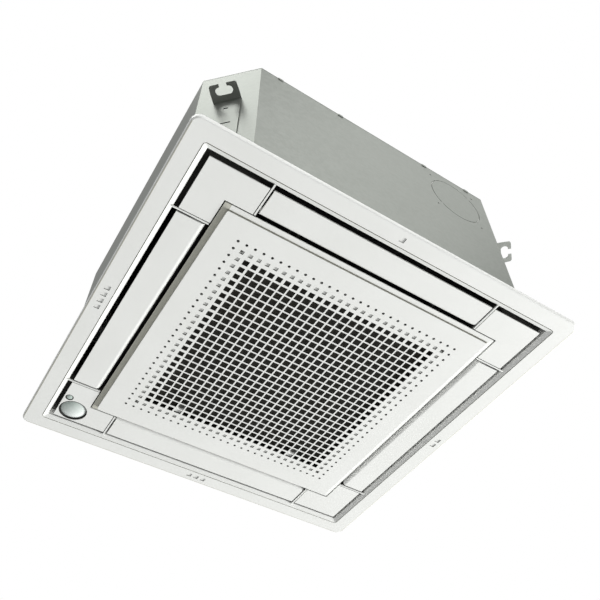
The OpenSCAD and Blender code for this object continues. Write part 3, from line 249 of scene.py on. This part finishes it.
# Painted shade in the wells round the sensor dome and the small receiver
WELLS = (Well(0.02, DOME_PLACE, radius=0.0222, low=-0.0061),
         Well(0.05, RECEIVER_PLACE, radius=0.0064, low=-0.0061))


def paint_shade(s, colour, rough_here, zones):
    """Painted shade in place of a colour inside each zone: dark olive tones with a fine noise, and a dull
    surface.
    """
    for zone in zones:
        inside = zone.share(s)
        painted_shade = s.mix(s.noise(900.0, 3.0, 0.7), olive(zone.tone*PAINTED_SHADE_SPAN[0]), olive(zone.tone*PAINTED_SHADE_SPAN[1]))
        colour = s.mix(inside, colour, painted_shade)
        rough_here = s.math("MAXIMUM", rough_here, s.product(inside, PAINTED_SHADE_ROUGH))
    return colour, rough_here


def white_plastic(name, dark=()):
    """Moulded white plastic with a fine eroded grain, and painted shade where a gap or a well takes the light.
    """
    s = Shader(name)
    broad = s.noise(9.0, 3.0, 0.55)
    fine = s.noise(1400.0, 2.0, 0.6)
    colour = s.mix(s.soft(broad), WHITE_SHADE, WHITE)
    rough_here = s.soft(s.noise(160.0, 3.0), 0.38, 0.48)
    colour, rough_here = paint_shade(s, colour, rough_here, dark)
    s.set(Base_Color=colour, Roughness=rough_here, IOR=1.49, Normal=s.bump(fine, 0.10, 0.00025))
    return s.material


def galvanised(name, dark=()):
    """Zinc-coated sheet: soft spangle, fine level brushing, rolling streaks and small handling marks, and
    painted shade in the given zones.
    """
    s = Shader(name)
    spangle = s.cells(210.0, output="Color")
    flake = s.make("ShaderNodeSeparateColor", Color=spangle).outputs[0]
    streak = s.noise(55.0, 3.0, 0.6, s.stretched((0.25, 0.25, 5.0)))
    cloud = s.noise(7.0, 3.0, 0.5)
    brush = s.noise(420.0, 3.0, 0.7, s.stretched((0.06, 0.06, 1.0)))
    blend = s.total(s.product(flake, 0.22), s.product(streak, 0.28), s.product(cloud, 0.25),
                    s.product(brush, 0.25))
    scratch = s.noise(700.0, 2.0, 0.7, s.stretched((0.03, 0.03, 1.0)))
    colour = s.mix(s.soft(blend), ZINC_SHADE, ZINC)
    colour, rough_here = paint_shade(s, colour, s.span(blend, 0.2, 0.8, 0.34, 0.44), dark)
    s.set(Base_Color=colour,
          Metallic=0.92,
          Specular_Tint=grey(0.4),
          Roughness=rough_here,
          Normal=s.bump(scratch, 0.10, 0.0002))
    return s.material


def plated(name):
    """Bright zinc plating on pressed steel."""
    s = Shader(name)
    cloud = s.noise(60.0, 3.0, 0.6)
    grain = s.noise(900.0, 2.0, 0.6, s.stretched((1.0, 1.0, 0.05)))
    s.set(Base_Color=s.mix(s.soft(cloud), grey(0.40), (0.52, 0.53, 0.53)),
          Metallic=0.8,
          Roughness=s.soft(cloud, 0.28, 0.42),
          Normal=s.bump(grain, 0.12, 0.0002))
    return s.material


def foam(name, colour, shade, bead, rough=0.85):
    """Moulded bead foam: packed beads with fine seams between them."""
    s = Shader(name)
    edge = s.cells(1.0/bead, "DISTANCE_TO_EDGE")
    tone = s.noise(14.0, 3.0)
    seam = s.span(edge, 0.0, 0.12)
    body = s.mix(s.soft(tone), shade, colour)
    s.set(Base_Color=s.mix(seam, shade, body),
          Roughness=s.soft(s.noise(300.0, 2.0), rough - 0.08, rough + 0.08),
          Normal=s.bump(seam, 0.35, 0.0004))
    return s.material


def plain_plastic(name, colour, shade, rough=(0.4, 0.58), grain=0.12):
    """Moulded engineering plastic with grain, tone and gloss changes."""
    s = Shader(name)
    s.set(Base_Color=s.mix(s.soft(s.noise(22.0, 3.0)), shade, colour),
          Roughness=s.soft(s.noise(120.0, 3.0), *rough),
          IOR=1.5,
          Normal=s.bump(s.noise(1100.0, 2.0, 0.6), grain, 0.0003))
    return s.material


def fins(name):
    """Aluminium fins: thin upright plates, followed round the square coil, with painted shade in the gaps
    between them.
    """
    s = Shader(name)
    x, y, _ = s.axes()
    along_x = s.above(s.math("ABSOLUTE", y), s.math("ABSOLUTE", x))
    run = s.total(s.product(x, along_x), s.product(y, s.math("SUBTRACT", 1.0, along_x)))
    wave = s.math("SINE", s.product(run, 2*math.pi/FIN_PITCH))
    line = s.span(wave, -0.4, 0.6)
    tone = s.mix(s.soft(s.noise(40.0, 2.0)), (0.55, 0.58, 0.60), (0.70, 0.72, 0.73))
    # Painted shade: dark lines stand for the gaps between the fin plates
    s.set(Base_Color=s.mix(line, grey(0.12), tone),
          Metallic=0.8,
          Roughness=s.soft(s.noise(200.0), 0.30, 0.45),
          Normal=s.bump(line, 0.8, 0.0008))
    return s.material


def bare_metal(name, colour, shade, rough=(0.22, 0.4), scale=55.0):
    """Drawn or machined metal with tarnish clouds and fine tool lines."""
    s = Shader(name)
    cloud = s.noise(scale, 4.0, 0.6)
    s.set(Base_Color=s.mix(s.soft(cloud), shade, colour),
          Metallic=1.0,
          Roughness=s.soft(cloud, *rough),
          Normal=s.bump(s.noise(1500.0, 2.0, 0.6), 0.08, 0.0002))
    return s.material


def net(name):
    """Woven filter net: two sets of fine threads, with painted shade in the gaps between them."""
    s = Shader(name)
    x, y, _ = s.axes()
    waves = [s.math("ABSOLUTE", s.math("SINE", s.product(way, math.pi/THREAD_PITCH))) for way in (x, y)]
    thread = s.math("MINIMUM", *waves)
    gap = s.span(thread, 0.3, 0.55)
    dust = s.noise(35.0, 4.0, 0.6)
    colour = s.mix(s.span(dust, 0.35, 0.7), (0.027, 0.025, 0.013), (0.054, 0.050, 0.030))
    # Painted shade: the gaps between the threads are near-black
    s.set(Base_Color=s.mix(gap, colour, grey(0.006)),
          Roughness=s.soft(dust, 0.6, 0.8),
          Normal=s.bump(s.math("SUBTRACT", 1.0, gap), 0.5, 0.0003))
    return s.material


def lens(name):
    """Glossy grey-green cover of the sensor, with painted shading: darker on one side and paler towards the
    other, the change faintly clouded.
    """
    s = Shader(name)
    x, y, _ = s.axes()
    painted_shading = s.total(s.math("SUBTRACT", x, DOME_PLACE[0]), s.math("SUBTRACT", y, DOME_PLACE[1]),
                    s.product(s.noise(80.0, 2.0), DOME_SHADING_CLOUD))
    s.set(Base_Color=s.mix(s.span(painted_shading, *DOME_SHADING_SPAN), (0.42, 0.49, 0.45), (0.80, 0.84, 0.81)),
          Roughness=s.soft(s.noise(250.0, 2.0), 0.10, 0.16),
          IOR=1.52)
    return s.material


def board(name):
    """Green solder mask with copper tracks under it."""
    s = Shader(name)
    track = s.cells(260.0, "DISTANCE_TO_EDGE", vector=s.stretched((1.0, 1.0, 0.1)), random_share=0.25)
    line = s.span(track, 0.05, 0.10)
    s.set(Base_Color=s.mix(line, (0.03, 0.16, 0.07), (0.015, 0.09, 0.04)),
          Roughness=s.soft(s.noise(90.0, 2.0), 0.22, 0.34),
          Normal=s.bump(line, 0.3, 0.0002))
    return s.material


MATERIALS = {
    "panel_white": white_plastic("panel_white"),
    "casing_steel": galvanised("casing_steel"),
    "bright_steel": plated("bright_steel"),
    "foam_white": foam("foam_white", (0.80, 0.80, 0.77), (0.68, 0.68, 0.65), 0.0038),
    "foam_black": foam("foam_black", grey(0.035), grey(0.018), 0.0016, 0.9),
    "black_plastic": plain_plastic("black_plastic", grey(0.030), grey(0.018)),
    "grey_plastic": plain_plastic("grey_plastic", grey(0.20), grey(0.15)),
    "sensor_lens": lens("sensor_lens"),
    "filter_net": net("filter_net"),
    "aluminium_fins": fins("aluminium_fins"),
    "copper_tube": bare_metal("copper_tube", (0.72, 0.38, 0.22), (0.50, 0.24, 0.13)),
    "brass_union": bare_metal("brass_union", (0.75, 0.58, 0.28), (0.60, 0.43, 0.18), (0.18, 0.32)),
    "board_green": board("board_green"),
    "motor_grey": plain_plastic("motor_grey", (0.25, 0.26, 0.27), (0.19, 0.20, 0.21), (0.32, 0.48)),
    "hose_black": plain_plastic("hose_black", grey(0.040), grey(0.024), (0.5, 0.7), 0.3),
    "float_orange": plain_plastic("float_orange", (0.75, 0.25, 0.05), (0.62, 0.18, 0.03)),
}

# Pieces whose material has painted shade in places
NODE_MATERIALS = {
    "panel_frame": white_plastic("panel_painted_shade", dark=(DUCT_ZONE, GROOVE_ZONE, MARK_ZONE, RIM_ZONE)),
    "casing": galvanised("casing_sheet", dark=(SEAM_ZONE, *BEHIND_SLOTS)),
    "suction_grille": white_plastic("grille_white", dark=(HOLE_ZONE, RISER_ZONE, STEP_ZONE)),
    "grille_lattice": white_plastic("lattice_white", dark=(LATTICE_ZONE,)),
}
for corner in ("front_left", "front_right", "rear_right", "rear_left"):
    NODE_MATERIALS["hanger_" + corner] = galvanised("hanger_" + corner + "_sheet", dark=IN_SLOTS)
    NODE_MATERIALS["corner_cover_" + corner] = white_plastic(
        "cover_" + corner, dark=(SKIRT_ZONE, *WELLS) if corner == "rear_left" else (SKIRT_ZONE,))
for node in ("latch_left", "latch_right"):
    NODE_MATERIALS[node] = white_plastic(node + "_white", dark=(DISH_ZONE,))


def dress_nodes():
    for part in frame["record"]["subparts"]:
        mesh = NODES[part["node"]].data
        mesh.materials.clear()
        mesh.materials.append(NODE_MATERIALS.get(part["node"], MATERIALS[part["material_slot"]]))


dress_nodes()

# ---------------------------------------------------------------- stage

FLOOR_Z = -4.6
FLOOR_HALF = 14.0
FLOOR_CELLS = 8
FADE = (1.0, 4.0)
CENTRE = Vector((0.0, 0.0, 0.14))
WORLD_COLOUR = (0.97, 0.99, 1.0)
WORLD_LIGHT = 0.33
# Name, direction from the object's middle, distance, diameter and power
LAMPS = (
    ("key", (1.0, 0.0, -0.42), 5.0, 2.0, 370.0),
    ("fill", (-0.1, -0.9, 0.45), 4.0, 1.5, 95.0),
    ("over", (-0.37, -0.10, 0.92), 2.0, 1.3, 24.0),
    ("side", (0.366, -0.347, 0.863), 2.4, 1.6, 10.0),
)


def make_floor():
    mesh = bpy.data.meshes.new("floor")
    builder = bmesh.new()
    bmesh.ops.create_grid(builder, x_segments=FLOOR_CELLS, y_segments=FLOOR_CELLS, size=FLOOR_HALF)
    builder.to_mesh(mesh)
    builder.free()
    floor = bpy.data.objects.new("floor", mesh)
    floor.location = (0.0, 0.0, FLOOR_Z)
    bpy.context.scene.collection.objects.link(floor)
    s = Shader("pale_floor")
    s.set(Base_Color=s.mix(s.noise(3.0, 3.0), grey(0.80), grey(0.84)), Roughness=0.8)
    x, y, _ = s.axes()
    path = s.tree.nodes.new("ShaderNodeLightPath").outputs
    seen = s.math("MAXIMUM", path["Is Glossy Ray"], path["Is Transmission Ray"])
    seen = s.math("MAXIMUM", path["Is Camera Ray"], seen)
    share = s.product(seen, s.span(s.length(x, y), *FADE))
    glow = s.make("ShaderNodeEmission", Color=grey(1.0), Strength=1.0).outputs[0]
    blend = s.tree.nodes.new("ShaderNodeMixShader")
    s.link(share, blend.inputs[0])
    s.link(s.bsdf.outputs[0], blend.inputs[1])
    s.link(glow, blend.inputs[2])
    s.link(blend.outputs[0], s.output.inputs["Surface"])
    mesh.materials.append(s.material)


def make_world():
    """Soft light on the object, and plain white where the camera, metal or glass sees past it."""
    world = bpy.data.worlds.new("studio")
    bpy.context.scene.world = world
    world.use_nodes = True
    tree = world.node_tree
    tree.nodes.clear()
    path = tree.nodes.new("ShaderNodeLightPath").outputs

    def either(first, second):
        node = tree.nodes.new("ShaderNodeMath")
        node.operation = "MAXIMUM"
        tree.links.new(first, node.inputs[0])
        tree.links.new(second, node.inputs[1])
        return node.outputs[0]

    def background(colour, strength):
        node = tree.nodes.new("ShaderNodeBackground")
        node.inputs["Color"].default_value = (*colour, 1.0)
        node.inputs["Strength"].default_value = strength
        return node.outputs[0]

    blend = tree.nodes.new("ShaderNodeMixShader")
    seen = either(path["Is Camera Ray"], either(path["Is Glossy Ray"], path["Is Transmission Ray"]))
    tree.links.new(seen, blend.inputs[0])
    tree.links.new(background(WORLD_COLOUR, WORLD_LIGHT), blend.inputs[1])
    tree.links.new(background(grey(1.0), 1.0), blend.inputs[2])
    out = tree.nodes.new("ShaderNodeOutputWorld")
    tree.links.new(blend.outputs[0], out.inputs["Surface"])


def make_lamp(name, direction, distance, size, power):
    data = bpy.data.lights.new(name, "AREA")
    data.shape = "DISK"
    data.size = size
    data.energy = power
    lamp = bpy.data.objects.new(name, data)
    way = Vector(direction).normalized()
    lamp.location = CENTRE + way*distance
    lamp.rotation_euler = way.to_track_quat("Z", "Y").to_euler()
    lamp.visible_camera = False
    bpy.context.scene.collection.objects.link(lamp)


make_floor()
make_world()
for lamp in LAMPS:
    make_lamp(*lamp)
bpy.context.scene.view_settings.view_transform = "Standard"

# ---------------------------------------------------------------- size: write_sizes only imports json and writes nothing


def write_sizes():
    import json


write_sizes()
